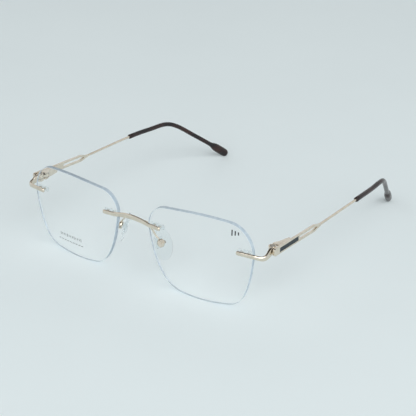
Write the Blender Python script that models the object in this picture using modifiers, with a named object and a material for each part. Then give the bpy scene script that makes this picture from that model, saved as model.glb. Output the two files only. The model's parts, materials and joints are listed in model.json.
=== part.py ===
"""Rimless eyeglasses with sprung hinges, as separate pieces. Metres, +Z up, the front faces -Y.

The pieces are laid out in the front's own frame: X outboard, Y back, Z up, with the origin between the
lenses at the height of their centres. The whole frame is then leaned back until it stands on the lower
edges of its lenses and on its temple tips. The wearer's left is +X; the right side is its mirror image.
"""

from math import cos, pi, radians, sin, tan

import bmesh
import bpy
from mathutils import Matrix, Vector
import numpy as np

# Lenses: box width, distance between them, front curve, thickness and how far each one is turned back.
LENS_WIDTH = 0.0510
BRIDGE_GAP = 0.0170
LENS_RADIUS = 0.140
LENS_THICK = 0.0019
WRAP = radians(4.2)
BLANK_RADIUS = 0.0310
BLANK_RINGS = 5
BLANK_STEPS = 28

# Lens outline from the front, X outboard: x, z and the heading in degrees at each end of a corner.
LENS_OUTLINE = (
    (0.0254, 0.0058, 84),
    (0.0150, 0.0199, 174),
    (-0.0173, 0.0189, 187),
    (-0.0254, 0.0077, 280),
    (-0.0203, -0.0106, 297),
    (-0.0101, -0.0197, 351),
    (0.0134, -0.0193, 9),
    (0.0208, -0.0135, 66),
)
OUTLINE_HANDLE = 0.36
OUTLINE_STEPS = 7

# Two-pin lens mounts: each bar has two pins, each pin sits in the sleeve of a clear plug behind the lens.
PIN_PLACES = (-0.0015, 0.0015)
PIN_RADIUS = 0.00045
SLEEVE_BORE = 0.00053
SLEEVE_RADIUS = 0.00070
LENS_HOLE = 0.00078
PLUG_SIZE = (0.0070, 0.0008, 0.0019)
PLUG_BEVEL = 0.00025
PIN_TAIL = 0.0005
CONTACT_GAP = 0.00006
PIN_SIDES = 8
BRIDGE_MOUNT = (0.0125, 0.0090)
ENDPIECE_MOUNT = (0.0558, 0.00755)
ENDPIECE_ROLL = radians(4.5)

# Bars: half depth, half height and squareness of their rounded sections, and how far their centre is ahead.
BAR_DEPTH = 0.00062
BAR_HEIGHT = 0.00100
BAR_SQUARE = 0.25
BAR_SIDES = 10
BAR_Y = -(BAR_DEPTH + CONTACT_GAP)
BRIDGE_REACH = 0.0031
ENDPIECE_REACH = 0.0034

# Middle of the bridge and elbow of the endpiece: x, y, z, half width, half height and squareness.
ARCH = (
    (0.0066, 0.00012, 0.00955, 0.00061, 0.00109, BAR_SQUARE),
    (0.0036, 0.00010, 0.01000, 0.00063, 0.00118, BAR_SQUARE),
    (0.0000, 0.00005, 0.01030, 0.00065, 0.00122, BAR_SQUARE),
)
ELBOW = (
    (0.0630, 0.0048, 0.0069, 0.00063, 0.00104, 0.25),
    (0.0640, 0.0060, 0.0070, 0.00064, 0.00120, 0.35),
    (0.0641, 0.0076, 0.0072, 0.00064, 0.00142, 0.50),
    (0.0640, 0.0090, 0.0076, 0.00068, 0.00162, 0.65),
    (0.0639, 0.0104, 0.0079, 0.00082, 0.00174, 0.80),
    (0.0638, 0.0114, 0.0079, 0.00092, 0.00175, 0.85),
)

# Hinge: its screw stands at HINGE, the knuckles are stacked along it. The screws lean opposite ways, so
# that one temple folds over the other.
HINGE = (0.06335, 0.0124, 0.0079)
STACK_TILT = radians(1.5)
KNUCKLE_RADIUS = 0.00165
KNUCKLE_HALF = 0.0018
SLOT_HALF = 0.00065
SLOT_RADIUS = 0.00185
TONGUE_HALF = 0.00055
TONGUE_RADIUS = 0.00160
SCREW_RADIUS = 0.00050
SCREW_BORE = 0.00057
SCREW_HEAD = 0.00105
HEAD_THICK = 0.00045
SCREW_SLOT = (0.00012, 0.00022)
KNUCKLE_STEPS = 20
THROUGH = 0.003

# Temple: its frame starts at the hinge and runs back, a little down and inwards.
TEMPLE_PITCH = radians(6.0)
TEMPLE_TOE = radians(0.45)
PLATE_INNER = 0.00185
PLATE_THICK = 0.0010
PLATE_CENTRE = PLATE_INNER + PLATE_THICK / 2
WIRE_RADIUS = 0.00058
PLATE_FRONT = -0.0026
PLATE_REAR = 0.0350
PLATE_UPPER = (
    (PLATE_REAR, 0.00056),
    (0.0340, 0.00058),
    (0.0300, 0.0016),
    (0.0085, 0.00158),
    (0.0020, 0.0017),
    (PLATE_FRONT, 0.0017),
)
PLATE_CORNERS = (0.0009, 0, 0, 0.001, 0.0005, 0)
WINDOW_FRONT = 0.0172
WINDOW_TAPER = 0.0292
WINDOW_POINT = 0.0325
WINDOW_HALF = 0.00072
WINDOW_CORNERS = (0.0006, 0.0005, 0.0001, 0.0005, 0.0006)
INLAY_DEPTH = 0.00035
INLAY_THICK = 0.00028
INLAY_ENDS = (0.0014, 0.0162)
INLAY_LOWER = (-0.00097, -0.00086)
INLAY_UPPER = (0.00090, 0.00108)
FIT_GAP = 0.00005

# Wire and tip: where the tip starts, then the knots of the centre line, behind and below the ear.
WIRE_KNOTS = (
    (0.0652, 0.0796, 0.0020),
    (0.0644, 0.0960, 0.0003),
    (0.0632, 0.1075, -0.0010),
    (0.0611, 0.1148, -0.0044),
    (0.0577, 0.1238, -0.0118),
    (0.0540, 0.1330, -0.0196),
    (0.0499, 0.1438, -0.0291),
)
PATH_STEPS = 3
TIP_START = PATH_STEPS
CORE_POINTS = 5 * PATH_STEPS + 2
TIP_HALF = (0.00108, 0.00112)
TIP_SQUARE = 0.1

# Paddle: distance from the tip's end, half width and half height.
PADDLE = (
    (0.0143, 0.00108, 0.00112),
    (0.0130, 0.00112, 0.00126),
    (0.0112, 0.00140, 0.00176),
    (0.0095, 0.00164, 0.00206),
    (0.0075, 0.00172, 0.00214),
    (0.0030, 0.00172, 0.00212),
    (0.0013, 0.00158, 0.00188),
    (0.0004, 0.00112, 0.00134),
    (0.0000, 0.00052, 0.00064),
)

# Housing on the temple's inner face: ends, depth inboard and half heights in front and at the back.
HOUSING_START = 0.00205
HOUSING_END = 0.0119
HOUSING_INNER = -0.00145
HOUSING_HALF = (0.00172, 0.00143)
HOUSING_PLAN = ((0.0005, HOUSING_END), (0.0001, 0.0096), (-0.00035, 0.0060), (HOUSING_INNER, 0.0036))
HOUSING_CORNERS = (0, 0, 0.0001, 0.002, 0.002, 0.002, 0.0005)
MOUTH_HALF = 0.00105
MOUTH_END = 0.0052
GROOVE_HALF = 0.00036
GROOVE_END = 0.0060
POCKET_FROM = (0.0004, 0.0056, -0.0007)
POCKET_TO = (0.004, 0.0098, 0.0007)

# Spring hinge: the carriage's block and its rod slide in the housing, against the spring round the rod.
CARRIAGE = (0.0020, 0.0049)
CARRIAGE_HALF = 0.00085
CARRIAGE_X = (HOUSING_INNER + 0.00010, -0.00075, 0.00145)
NECK_START = 0.0005
ROD_X = 0.00105
ROD_START = 0.0045
ROD_END = 0.0089
ROD_RADIUS = 0.00026
SPRING_START = 0.00565
SPRING_END = 0.00825
SPRING_RADIUS = 0.00048
SPRING_WIRE = 0.00010
SPRING_TURNS = 5
SPRING_STEPS = 7
NUT_RADIUS = 0.00058

# Nose pads: the box on each pad arm and the frame in which pad, core and screw are laid out. The arms were
# bent by hand, so the boxes stand at unlike heights.
PAD_BOX = (0.0112, 0.0058)
PAD_BOX_Z = {"left": -0.0015, "right": 0.0005}
PAD_SPLAY = radians(25)
PAD_FRONTAL = radians(18)
PAD_OFFSET = (0.0018, 0.00205, -0.0012)
PAD_HALF = (0.00425, 0.00095, 0.0072)
BOX_HALF = (0.0017, 0.0019)
BOX_DEPTH = (-0.00095, 0.0007)
BOX_CAVITY = (0.0011, 0.0013)
BOX_FLOOR = -0.0007
PAD_BORE = 0.00040
EYE_RADIUS = 0.00058
PAD_SCREW_HEAD = (0.00078, 0.00065, 0.00044)
PAD_SCREW_SLOT = (0.0001, 0.00026)
ARM_ROOT = (
    (0.0056, 0.00086, 0.00945),
    (0.0057, 0.0018, 0.0092),
    (0.0063, 0.0031, 0.0079),
    (0.0077, 0.0042, 0.0056),
)
ARM_END = ((-0.0018, -0.0008, 0.0034), (-0.00065, -0.0003, 0.00205))
ARM_RADIUS = 0.0004
CORE_NECK = (0.0009, 0.0006)
CORE_PLATE_X = (-0.0014, 0.0018)
CORE_PLATE_Y = (0.0018, 0.0022)
CORE_PLATE_Z = 0.0024

MATERIALS = {
    "polished_gold": ((0.60, 0.56, 0.44, 1), 0.18, 1.0),
    "screw_steel": ((0.45, 0.44, 0.42, 1), 0.30, 1.0),
    "clear_lens": ((0.80, 0.88, 0.90, 1), 0.03, 0.0),
    "clear_plug": ((0.86, 0.90, 0.90, 1), 0.15, 0.0),
    "clear_silicone": ((0.84, 0.88, 0.86, 1), 0.35, 0.0),
    "inlay_enamel": ((0.03, 0.05, 0.07, 1), 0.30, 0.0),
    "tip_acetate": ((0.06, 0.02, 0.02, 1), 0.12, 0.0),
    "spring_steel": ((0.40, 0.40, 0.41, 1), 0.30, 1.0),
}


# ---------------------------------------------------------------- scene, materials and joining


def clear_scene():
    for obj in list(bpy.data.objects):
        bpy.data.objects.remove(obj)


def collection(name):
    made = bpy.data.collections.new(name)
    bpy.context.scene.collection.children.link(made)
    return made


def material(name):
    found = bpy.data.materials.get(name)
    if found:
        return found
    colour, roughness, metallic = MATERIALS[name]
    made = bpy.data.materials.new(name)
    made.use_nodes = True
    shader = made.node_tree.nodes["Principled BSDF"]
    shader.inputs["Base Color"].default_value = colour
    shader.inputs["Roughness"].default_value = roughness
    shader.inputs["Metallic"].default_value = metallic
    return made


def empty(name, parent=None, matrix=None):
    made = bpy.data.objects.new(name, None)
    made.empty_display_size = 0.005
    PARTS.objects.link(made)
    made.parent = parent
    made.matrix_local = matrix or Matrix()
    return made


def part(name, mesh, finish, parent, matrix=None, smooth=30):
    """One piece of the object, as its own node."""
    made = bpy.data.objects.new(name, mesh)
    made.parent = parent
    made.matrix_local = matrix or Matrix()
    mesh.materials.clear()
    mesh.materials.append(material(finish))
    mesh.shade_smooth()
    mesh.set_sharp_from_angle(angle=radians(smooth))
    PARTS.objects.link(made)
    return made


def boolean(target, operation, mesh, matrix=None):
    """Adds or cuts with a helper shape, given in the frame of the target's parent."""
    tool = bpy.data.objects.new(f"{target.name}_{operation.lower()}_{len(target.modifiers)}", mesh)
    tool.parent = target.parent
    tool.matrix_local = matrix or Matrix()
    tool.hide_render = True
    tool.display_type = "WIRE"
    CUTTERS.objects.link(tool)
    modifier = target.modifiers.new(operation.lower(), "BOOLEAN")
    modifier.operation = operation
    modifier.solver = "EXACT"
    modifier.object = tool


# ---------------------------------------------------------------- shapes


def mesh_of(bm, name="shape"):
    mesh = bpy.data.meshes.new(name)
    bm.to_mesh(mesh)
    bm.free()
    return mesh


def block(low, high, bevel=0.0, segments=2):
    """A box between two corners, its edges rounded if bevel is given."""
    low, high = Vector(low), Vector(high)
    bm = bmesh.new()
    bmesh.ops.create_cube(bm, size=1.0)
    for vert in bm.verts:
        vert.co = (low + high) / 2 + Vector(c * (b - a) for c, a, b in zip(vert.co, low, high))
    if bevel:
        bmesh.ops.bevel(
            bm, geom=bm.edges[:], offset=bevel, segments=segments, profile=0.5, affect="EDGES"
        )
    return mesh_of(bm)


def rod(start, end, radius, sides=PIN_SIDES, end_radius=None):
    """A cylinder or cone between two points."""
    start, end = Vector(start), Vector(end)
    bm = bmesh.new()
    bmesh.ops.create_cone(
        bm,
        cap_ends=True,
        segments=sides,
        radius1=radius,
        radius2=radius if end_radius is None else end_radius,
        depth=(end - start).length,
    )
    turn = (end - start).to_track_quat("Z", "Y").to_matrix().to_4x4()
    bm.transform(Matrix.Translation((start + end) / 2) @ turn)
    return mesh_of(bm)


def from_curve(data, weld=1e-7):
    """The mesh of a curve, with its caps welded to its sides."""
    curve = bpy.data.objects.new("curve", data)
    bpy.context.scene.collection.objects.link(curve)
    graph = bpy.context.evaluated_depsgraph_get()
    mesh = bpy.data.meshes.new_from_object(curve.evaluated_get(graph))
    bpy.data.objects.remove(curve)
    bm = bmesh.new()
    bm.from_mesh(mesh)
    bmesh.ops.remove_doubles(bm, verts=bm.verts, dist=weld)
    bmesh.ops.recalc_face_normals(bm, faces=bm.faces)
    return mesh_of(bm)


def tube(points, radius, radii=None):
    """A round wire through the points."""
    data = bpy.data.curves.new("wire", "CURVE")
    data.dimensions = "3D"
    data.bevel_depth = radius
    data.bevel_resolution = 2
    data.use_fill_caps = True
    spline = data.splines.new("POLY")
    spline.points.add(len(points) - 1)
    for i, place in enumerate(points):
        spline.points[i].co = (*place, 1)
        spline.points[i].radius = radii[i] if radii else 1.0
    return from_curve(data)


def flat(outlines, low, high):
    """Flat outlines in the XY plane, made solid from height low to high. The first is the outside."""
    data = bpy.data.curves.new("outline", "CURVE")
    data.dimensions = "2D"
    data.fill_mode = "BOTH"
    data.extrude = (high - low) / 2
    for points in outlines:
        spline = data.splines.new("POLY")
        spline.points.add(len(points) - 1)
        for i, place in enumerate(points):
            spline.points[i].co = (place[0], place[1], 0, 1)
        spline.use_cyclic_u = True
    mesh = from_curve(data)
    mesh.transform(Matrix.Translation((0, 0, (low + high) / 2)))
    return mesh


def rounded(corners, radius, steps=4):
    """The points of a polygon with its corners rounded. A radius per corner can be given."""
    radii = radius if isinstance(radius, (list, tuple)) else [radius] * len(corners)
    points = []
    for i, size in enumerate(radii):
        here, before, after = (Vector(corners[(i + k) % len(corners)]) for k in (0, -1, 1))
        if not size:
            points.append(here)
            continue
        inward, outward = (before - here).normalized(), (after - here).normalized()
        reach = size / tan(inward.angle(outward) / 2)
        reach = min(reach, 0.48 * (before - here).length, 0.48 * (after - here).length)
        start, end = here + inward * reach, here + outward * reach
        for k in range(steps + 1):
            t = k / steps
            points.append((1 - t) ** 2 * start + 2 * t * (1 - t) * here + t * t * end)
    return points


def upright(outlines, low, high):
    """Outlines of (y, z) in a temple's frame, made solid from low to high along its X."""
    mesh = flat(outlines, low, high)
    mesh.transform(Matrix.Rotation(pi / 2, 4, "Z") @ Matrix.Rotation(pi / 2, 4, "X"))
    return mesh


def smooth(stations, steps):
    """Catmull-Rom values between stations, each a tuple of numbers."""
    rows = [np.array(s, float) for s in stations]
    rows = [2 * rows[0] - rows[1], *rows, 2 * rows[-1] - rows[-2]]
    found = []
    for a, b, c, d in zip(rows, rows[1:], rows[2:], rows[3:]):
        square, cube = 2 * a - 5 * b + 4 * c - d, 3 * b - a - 3 * c + d
        for t in (k / steps for k in range(steps)):
            found.append(0.5 * (2 * b + (c - a) * t + square * t**2 + cube * t**3))
    found.append(rows[-2])
    return found


def place_from_end(points, distance):
    """The place on a line of points at this distance before its end."""
    for after, before in zip(points[::-1], points[-2::-1]):
        length = (after - before).length
        if distance <= length:
            return after + (before - after) * (distance / length)
        distance -= length
    return points[0]


def loft(stations, sides=BAR_SIDES, upright=Vector((0, 0, 1))):
    """A closed body through sections, each (x, y, z, half width, half height, squareness 0 to 1)."""
    bm = bmesh.new()
    centres = [Vector(s[:3]) for s in stations]
    rings = []
    for i, (centre, station) in enumerate(zip(centres, stations)):
        along = centres[min(i + 1, len(centres) - 1)] - centres[max(i - 1, 0)]
        across = along.cross(upright).normalized()
        up = across.cross(along).normalized()
        half_width, half_height, square = station[3:6]
        power = 1 - 0.75 * square
        ring = []
        for k in range(sides):
            angle = 2 * pi * (k + 0.5) / sides
            a, b = cos(angle), sin(angle)
            ring.append(
                bm.verts.new(
                    centre
                    + across * half_width * np.sign(a) * abs(a) ** power
                    + up * half_height * np.sign(b) * abs(b) ** power
                )
            )
        rings.append(ring)
    for a, b in zip(rings, rings[1:]):
        for k in range(sides):
            bm.faces.new((a[k], a[(k + 1) % sides], b[(k + 1) % sides], b[k]))
    bm.faces.new(rings[0])
    bm.faces.new(rings[-1])
    bmesh.ops.recalc_face_normals(bm, faces=bm.faces)
    return mesh_of(bm)


# ---------------------------------------------------------------- frames


def lens_frame():
    """The lens's own frame: origin on its front at the centre, turned back at the outer side."""
    return Matrix.Translation(((LENS_WIDTH + BRIDGE_GAP) / 2, 0, 0)) @ Matrix.Rotation(WRAP, 4, "Z")


def mount_frame(place, roll=0.0):
    """A frame on the lens's front surface at the given x and z: its Y points back, square to the lens."""
    frame = lens_frame()
    x, z = (frame.inverted() @ Vector((place[0], 0, 0))).x, place[1]
    back = Vector((-x / LENS_RADIUS, 1, -z / LENS_RADIUS)).normalized()
    along = Vector((1, x / LENS_RADIUS, 0)).normalized()
    up = along.cross(back)
    turn = Matrix((along, back, up)).transposed().to_4x4()
    origin = Vector((x, (x * x + z * z) / (2 * LENS_RADIUS), z))
    return frame @ Matrix.Translation(origin) @ turn @ Matrix.Rotation(roll, 4, "Y")


def temple_frame():
    return (
        Matrix.Translation(HINGE)
        @ Matrix.Rotation(TEMPLE_TOE, 4, "Z")
        @ Matrix.Rotation(-TEMPLE_PITCH, 4, "X")
    )


def pad_box_place(side):
    return Vector((*PAD_BOX, PAD_BOX_Z[side]))


def pad_frame(side):
    """Origin in the pad box, Y towards the nose, Z up the pad, X to the back."""
    nose = Vector(
        (-cos(PAD_FRONTAL) * cos(PAD_SPLAY), cos(PAD_FRONTAL) * sin(PAD_SPLAY), -sin(PAD_FRONTAL))
    ).normalized()
    up = (Vector((0, 0, 1)) - nose * nose.z).normalized()
    turn = Matrix((nose.cross(up), nose, up)).transposed().to_4x4()
    return Matrix.Translation(pad_box_place(side)) @ turn


# ---------------------------------------------------------------- lenses and their mounts


def lens_outline():
    points = []
    for i, (x0, z0, heading0) in enumerate(LENS_OUTLINE):
        x3, z3, heading3 = LENS_OUTLINE[(i + 1) % len(LENS_OUTLINE)]
        start, end = Vector((x0, z0)), Vector((x3, z3))
        reach = OUTLINE_HANDLE * (end - start).length
        leave = start + reach * Vector((cos(radians(heading0)), sin(radians(heading0))))
        arrive = end - reach * Vector((cos(radians(heading3)), sin(radians(heading3))))
        for t in (k / OUTLINE_STEPS for k in range(OUTLINE_STEPS)):
            near = (1 - t) ** 3 * start + 3 * (1 - t) ** 2 * t * leave
            points.append(near + 3 * (1 - t) * t**2 * arrive + t**3 * end)
    return points


def lens_blank(parent, name):
    """The round meniscus that the lens is edged from: a turned profile, front surface on top."""
    radii = [BLANK_RADIUS * k / BLANK_RINGS for k in range(BLANK_RINGS + 1)]
    front = [(r, 0, -r * r / (2 * LENS_RADIUS)) for r in radii]
    back = [(r, 0, z - LENS_THICK) for r, _, z in reversed(front)]
    mesh = bpy.data.meshes.new("blank")
    profile = front + back
    mesh.from_pydata(profile, [(i, i + 1) for i in range(len(profile) - 1)], [])
    made = part(name, mesh, "clear_lens", parent, lens_frame() @ Matrix.Rotation(pi / 2, 4, "X"))
    screw = made.modifiers.new("turn", "SCREW")
    screw.steps = screw.render_steps = BLANK_STEPS
    screw.use_merge_vertices = True
    screw.merge_threshold = 1e-6
    screw.use_smooth_shade = True
    return made


def lens(side, parent):
    made = lens_blank(parent, f"lens_{side}")
    edge = flat([lens_outline()], -0.010, 0.005)  # well past the blank on both faces
    boolean(made, "INTERSECT", edge, lens_frame() @ Matrix.Rotation(pi / 2, 4, "X"))
    for frame in (mount_frame(BRIDGE_MOUNT), mount_frame(ENDPIECE_MOUNT, ENDPIECE_ROLL)):
        for x in PIN_PLACES:
            boolean(made, "DIFFERENCE", rod((x, -THROUGH, 0), (x, THROUGH, 0), LENS_HOLE), frame)


def plug(name, parent, frame):
    """A clear plate behind the lens with two sleeves that fill the lens's holes."""
    length, depth, height = PLUG_SIZE
    front = LENS_THICK + CONTACT_GAP
    low, high = (-length / 2, front, -height / 2), (length / 2, front + depth, height / 2)
    made = part(name, block(low, high, PLUG_BEVEL, 1), "clear_plug", parent, frame)
    for x in PIN_PLACES:
        boolean(made, "UNION", rod((x, 0.0002, 0), (x, front + depth / 2, 0), SLEEVE_RADIUS), frame)
        boolean(made, "DIFFERENCE", rod((x, -THROUGH, 0), (x, THROUGH, 0), SLEEVE_BORE), frame)


def pin_ends(x):
    """Ends of one pin in its mount's frame: inside the bar, and in the sleeve behind the lens."""
    return Vector((x, -BAR_DEPTH, 0)), Vector((x, LENS_THICK + PIN_TAIL, 0))


def bar_end(frame, start, inward):
    """Stations that round off a bar's end and carry it along its mount."""
    stations = []
    for reach, share in ((0.0, 0.45), (0.0002, 0.78), (0.0006, 0.97), (0.0012, 1.0)):
        place = frame @ Vector((start + inward * reach, BAR_Y, 0))
        stations.append((*place, BAR_DEPTH * share, BAR_HEIGHT * share, BAR_SQUARE))
    return stations


def bar_run(frame, places):
    return [(*(frame @ Vector((x, BAR_Y, 0))), BAR_DEPTH, BAR_HEIGHT, BAR_SQUARE) for x in places]


def bridge(parent):
    """Arched bar between the lenses, made from its left half and that half's mirror image."""
    frame = mount_frame(BRIDGE_MOUNT)
    half = bar_end(frame, BRIDGE_REACH, -1)
    half += smooth([*bar_run(frame, (0.0, -0.0030)), *ARCH], 2)
    mirrored = [(-s[0], *s[1:]) for s in reversed(half[:-1])]
    made = part("bridge", loft([*half, *mirrored]), "polished_gold", parent)
    for side in (1, -1):
        mount = Matrix.Diagonal((side, 1, 1, 1)) @ frame
        for x in PIN_PLACES:
            boolean(made, "UNION", rod(*(mount @ end for end in pin_ends(x)), PIN_RADIUS))


# ---------------------------------------------------------------- hinge


def endpiece(side, parent, hinge):
    """Bar on the lens, elbow, and the fork of the hinge with a knuckle above and below."""
    frame = mount_frame(ENDPIECE_MOUNT, ENDPIECE_ROLL)
    stations = bar_end(frame, -ENDPIECE_REACH, 1)
    stations += smooth([*bar_run(frame, (0.0, 0.0030, 0.0052)), *ELBOW], 2)
    made = part(f"endpiece_{side}", loft(stations), "polished_gold", parent)
    knuckle = rod((0, 0, -KNUCKLE_HALF), (0, 0, KNUCKLE_HALF), KNUCKLE_RADIUS, KNUCKLE_STEPS)
    slot = rod((0, 0, -SLOT_HALF), (0, 0, SLOT_HALF), SLOT_RADIUS, KNUCKLE_STEPS)
    seat = KNUCKLE_HALF - HEAD_THICK - FIT_GAP
    boolean(made, "UNION", knuckle, hinge)
    boolean(made, "DIFFERENCE", slot, hinge)
    boolean(made, "DIFFERENCE", rod((0, 0, -THROUGH), (0, 0, THROUGH), SCREW_BORE), hinge)
    boolean(made, "DIFFERENCE", rod((0, 0, seat), (0, 0, THROUGH), SCREW_HEAD + 0.00008, 16), hinge)
    for x in PIN_PLACES:
        boolean(made, "UNION", rod(*pin_ends(x), PIN_RADIUS), frame)


def hinge_screw(side, parent, hinge):
    """Slotted screw that holds the fork and the slider's knuckle together."""
    top = KNUCKLE_HALF - 0.00003
    head = rod((0, 0, top - HEAD_THICK), (0, 0, top), SCREW_HEAD, 16, SCREW_HEAD * 0.93)
    made = part(f"hinge_screw_{side}", head, "screw_steel", parent, hinge)
    shank = rod((0, 0, 0.0001 - KNUCKLE_HALF), (0, 0, top - HEAD_THICK / 2), SCREW_RADIUS)
    half, depth = SCREW_SLOT
    boolean(made, "UNION", shank, hinge)
    boolean(made, "DIFFERENCE", block((-0.002, -half, top - depth), (0.002, half, THROUGH)), hinge)


def hinge_slider(side, parent, hinge, temple):
    """The sprung carriage: middle knuckle, block in the housing's mouth, and the rod of the spring."""
    start, end = CARRIAGE
    inner, tapered, outer = CARRIAGE_X
    half = CARRIAGE_HALF
    knuckle = rod((0, 0, -TONGUE_HALF), (0, 0, TONGUE_HALF), TONGUE_RADIUS, KNUCKLE_STEPS)
    neck_from = (inner + FIT_GAP, NECK_START, -TONGUE_HALF)
    neck = block(neck_from, (outer - 0.0001, start + 0.0004, TONGUE_HALF))
    plan = [(outer, start), (outer, end), (tapered, end), (inner, HOUSING_PLAN[-1][1]), (inner, start)]
    made = part(f"hinge_slider_{side}", flat([plan], -half, half), "polished_gold", parent, temple)
    corners = [(0, -half), (end, -half), (end, half), (0, half)]
    boolean(made, "INTERSECT", upright([rounded(corners, [0, 0.0008, 0.0008, 0])], -0.004, 0.004), temple)
    boolean(made, "UNION", knuckle, hinge)
    boolean(made, "UNION", neck, hinge)
    boolean(made, "UNION", rod((ROD_X, ROD_START, 0), (ROD_X, ROD_END, 0), ROD_RADIUS, 10), temple)
    boolean(made, "DIFFERENCE", rod((0, 0, -THROUGH), (0, 0, THROUGH), SCREW_BORE), hinge)


def spring_stop(side, parent, temple):
    """Nut on the end of the rod, which the spring pushes against."""
    nut = rod((ROD_X, SPRING_END + 0.0001, 0), (ROD_X, ROD_END - 0.0001, 0), NUT_RADIUS, 12)
    bore = rod((ROD_X, SPRING_START, 0), (ROD_X, HOUSING_END, 0), ROD_RADIUS + FIT_GAP)
    made = part(f"spring_stop_{side}", nut, "spring_steel", parent, temple)
    boolean(made, "DIFFERENCE", bore, temple)


def flex_spring(side, parent, temple):
    """Compression spring round the rod."""
    count = SPRING_TURNS * SPRING_STEPS
    pitch = (SPRING_END - SPRING_START - 2 * SPRING_WIRE) / count
    points = []
    for k in range(count + 1):
        angle = 2 * pi * k / SPRING_STEPS
        y = SPRING_START + SPRING_WIRE + pitch * k
        points.append((ROD_X + SPRING_RADIUS * cos(angle), y, SPRING_RADIUS * sin(angle)))
    part(f"flex_spring_{side}", tube(points, SPRING_WIRE), "spring_steel", parent, temple, 60)


def spring_housing(side, parent, temple):
    """Box on the inner face of the temple, open towards it, with a mouth for the carriage."""
    front, back = HOUSING_HALF
    outer = PLATE_INNER - CONTACT_GAP
    plan = [(outer, HOUSING_START), (outer, HOUSING_END), *HOUSING_PLAN, (HOUSING_INNER, HOUSING_START)]
    body = flat([rounded(plan, HOUSING_CORNERS, 3)], -0.0020, 0.0020)
    made = part(f"spring_housing_{side}", body, "polished_gold", parent, temple)
    side_view = [(0.001, -front), (0.0130, -back), (0.0130, back), (0.001, front)]
    boolean(made, "INTERSECT", upright([side_view], -0.004, 0.004), temple)
    mouth = [(0.0, -MOUTH_HALF), (MOUTH_END, -MOUTH_HALF), (MOUTH_END, MOUTH_HALF), (0.0, MOUTH_HALF)]
    boolean(made, "DIFFERENCE", upright([rounded(mouth, [0, 0.001, 0.001, 0])], -0.004, 0.004), temple)
    groove = block((ROD_X - GROOVE_HALF, ROD_START, -GROOVE_HALF), (0.004, GROOVE_END, GROOVE_HALF))
    boolean(made, "DIFFERENCE", groove, temple)
    boolean(made, "DIFFERENCE", block(POCKET_FROM, POCKET_TO), temple)


# ---------------------------------------------------------------- temple


def inlay_outline(grow):
    start, end = INLAY_ENDS
    return [
        (start - grow, INLAY_LOWER[0] - grow),
        (end + grow, INLAY_LOWER[1] - grow),
        (end + grow, INLAY_UPPER[1] + grow),
        (start - grow, INLAY_UPPER[0] + grow),
    ]


def temple_path(steps):
    """The wire's centre line from the pierced plate to the end of the tip, in the front's frame."""
    start = temple_frame() @ Vector((PLATE_CENTRE, PLATE_REAR - 0.0003, 0))
    return [Vector(p) for p in smooth([tuple(start), *WIRE_KNOTS], steps)]


def temple_plate(side, parent, temple):
    """Flat bar with a recess for the inlay and a long window, drawn out into the wire core."""
    outline = [(y, -z) for y, z in reversed(PLATE_UPPER)] + list(PLATE_UPPER)
    radii = [*PLATE_CORNERS, *reversed(PLATE_CORNERS)]
    half = WINDOW_HALF
    window = [(WINDOW_FRONT, half), (WINDOW_TAPER, half), (WINDOW_POINT, 0.0)]
    window += [(WINDOW_TAPER, -half), (WINDOW_FRONT, -half)]
    holed = [rounded(outline, radii), rounded(window, WINDOW_CORNERS)]
    plate = upright(holed, PLATE_INNER, PLATE_INNER + PLATE_THICK)
    made = part(f"temple_{side}", plate, "polished_gold", parent, temple)
    recess = upright([inlay_outline(FIT_GAP)], PLATE_INNER + PLATE_THICK - INLAY_DEPTH, 0.004)
    boolean(made, "DIFFERENCE", recess, temple)
    ahead = temple @ Vector((PLATE_CENTRE, PLATE_REAR - 0.0016, 0))
    boolean(made, "UNION", tube([ahead, *temple_path(PATH_STEPS)[:CORE_POINTS]], WIRE_RADIUS))


def temple_inlay(side, parent, temple):
    floor = PLATE_INNER + PLATE_THICK - INLAY_DEPTH + FIT_GAP
    body = upright([inlay_outline(0.0)], floor, floor + INLAY_THICK)
    part(f"temple_inlay_{side}", body, "inlay_enamel", parent, temple)


def temple_tip(side, parent):
    """Moulded tip: a tube over the wire that bends down behind the ear and widens into a paddle."""
    path = temple_path(PATH_STEPS)[TIP_START:]
    lengths = [(b - a).length for a, b in zip(path, path[1:])]
    stations = []
    for i, place in enumerate(path):
        if sum(lengths[i:]) < PADDLE[0][0]:
            break
        share = 0.86 if i == 0 else 1.0
        stations.append((*place, TIP_HALF[0] * share, TIP_HALF[1] * share, TIP_SQUARE))
    for distance, half_width, half_height in PADDLE:
        stations.append((*place_from_end(path, distance), half_width, half_height, TIP_SQUARE))
    made = part(f"temple_tip_{side}", loft(stations), "tip_acetate", parent, None, 50)
    bore = temple_path(PATH_STEPS)[TIP_START - 1 : CORE_POINTS]
    last = bore[-1] + (bore[-1] - bore[-2]).normalized() * 0.0003
    boolean(made, "DIFFERENCE", tube([*bore, last], WIRE_RADIUS + 0.00008))


# ---------------------------------------------------------------- nose pads


def pad_arm(side, parent):
    """Wire from behind the bridge's end, round to the pad box."""
    box = pad_box_place(side)
    knots = [*ARM_ROOT, *(tuple(box + Vector(end)) for end in ARM_END)]
    part(f"pad_arm_{side}", tube(smooth(knots, 2), ARM_RADIUS), "polished_gold", parent, None, 60)


def pad_box(side, parent, pad):
    """Cup on the end of the pad arm, open towards the pad and bored for the pad's screw."""
    (x, z), (back, front), (cavity_x, cavity_z) = BOX_HALF, BOX_DEPTH, BOX_CAVITY
    shell = block((-x, back, -z), (x, front, z), 0.00055, 3)
    cavity = block((-cavity_x, BOX_FLOOR, -cavity_z), (cavity_x, THROUGH, cavity_z))
    made = part(f"pad_box_{side}", shell, "polished_gold", parent, pad, 50)
    boolean(made, "DIFFERENCE", cavity, pad)
    boolean(made, "DIFFERENCE", rod((-THROUGH, 0, 0), (THROUGH, 0, 0), PAD_BORE), pad)


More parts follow.
